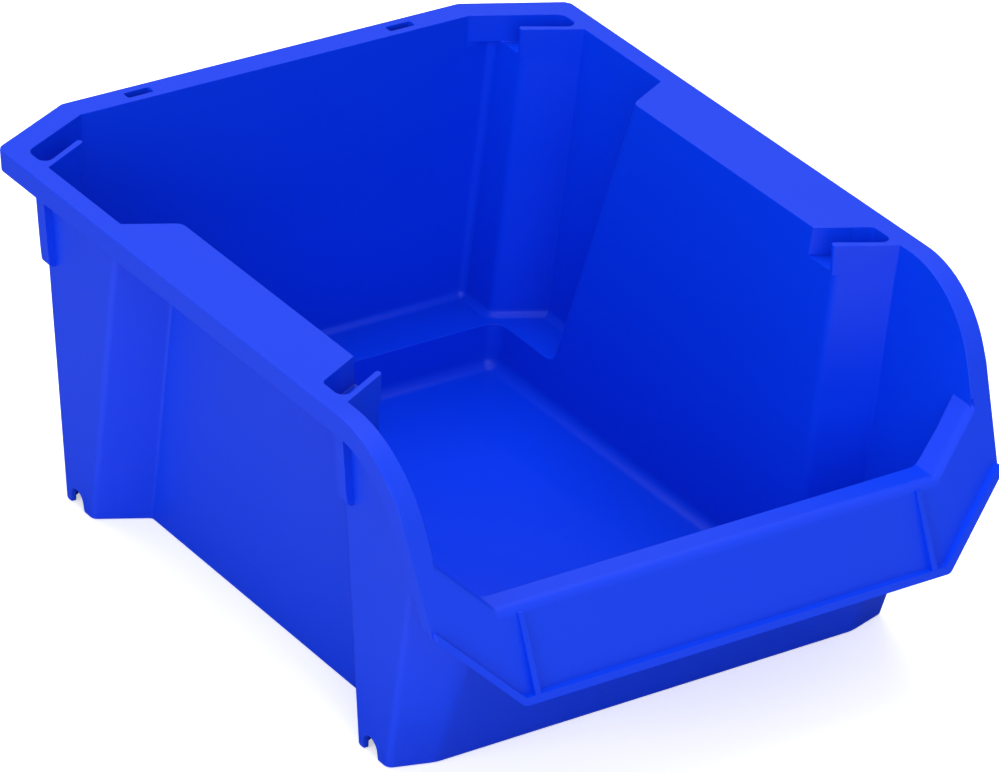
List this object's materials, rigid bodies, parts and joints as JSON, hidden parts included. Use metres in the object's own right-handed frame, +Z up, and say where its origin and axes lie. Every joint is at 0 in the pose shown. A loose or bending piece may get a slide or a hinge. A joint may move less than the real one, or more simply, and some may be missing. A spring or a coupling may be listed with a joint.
{
  "type": "stackable storage bin",
  "caption": "Open-front stackable storage bin with hollow side columns, stacking slots and nibs under a folded rim, and a level lip with a label panel across the low front.",
  "frame": {"origin": "middle of the bounding box's bottom face, on the surface that the floor and feet stand on", "axes": "+X to the bin's right-hand side, +Y from the open front to the back rim, +Z up"},
  "size_m": [0.22, 0.28, 0.124],
  "materials": {
    "blue_plastic": "semi-matte injection-moulded polypropylene, blue"
  },
  "bodies": {
    "root": {"floor_panel": "blue_plastic", "rear_ledge": "blue_plastic", "rear_ledge_riser": "blue_plastic", "floor_riser_left": "blue_plastic", "floor_riser_right": "blue_plastic", "rear_pocket_floor_left": "blue_plastic", "rear_pocket_floor_right": "blue_plastic", "front_pocket_floor_left": "blue_plastic", "front_pocket_floor_right": "blue_plastic", "back_wall": "blue_plastic", "return_wall_left": "blue_plastic", "return_wall_right": "blue_plastic", "rear_column_back_left": "blue_plastic", "rear_column_back_right": "blue_plastic", "rear_column_side_left": "blue_plastic", "rear_column_side_right": "blue_plastic", "rear_column_front_left": "blue_plastic", "rear_column_front_right": "blue_plastic", "side_wall_left": "blue_plastic", "side_wall_right": "blue_plastic", "front_column_back_left": "blue_plastic", "front_column_back_right": "blue_plastic", "front_column_side_left": "blue_plastic", "front_column_side_right": "blue_plastic", "front_corner_left": "blue_plastic", "front_corner_right": "blue_plastic", "front_wall": "blue_plastic", "rim_back": "blue_plastic", "rim_corner_left": "blue_plastic", "rim_corner_right": "blue_plastic", "rim_side_left": "blue_plastic", "rim_side_right": "blue_plastic", "shelf_left": "blue_plastic", "shelf_right": "blue_plastic", "shoulder_left": "blue_plastic", "shoulder_right": "blue_plastic", "rear_slot_left": "blue_plastic", "rear_slot_right": "blue_plastic", "front_slot_left": "blue_plastic", "front_slot_right": "blue_plastic", "rear_nib_left": "blue_plastic", "rear_nib_right": "blue_plastic", "front_nib_left": "blue_plastic", "front_nib_right": "blue_plastic", "rear_tab_left": "blue_plastic", "rear_tab_right": "blue_plastic", "front_tab_left": "blue_plastic", "front_tab_right": "blue_plastic", "lip_top": "blue_plastic", "lip_end_left": "blue_plastic", "lip_end_right": "blue_plastic", "label_panel": "blue_plastic", "cheek_left": "blue_plastic", "cheek_right": "blue_plastic", "label_ledge": "blue_plastic", "label_rib_left": "blue_plastic", "label_rib_right": "blue_plastic"}
  },
  "joints": []
}
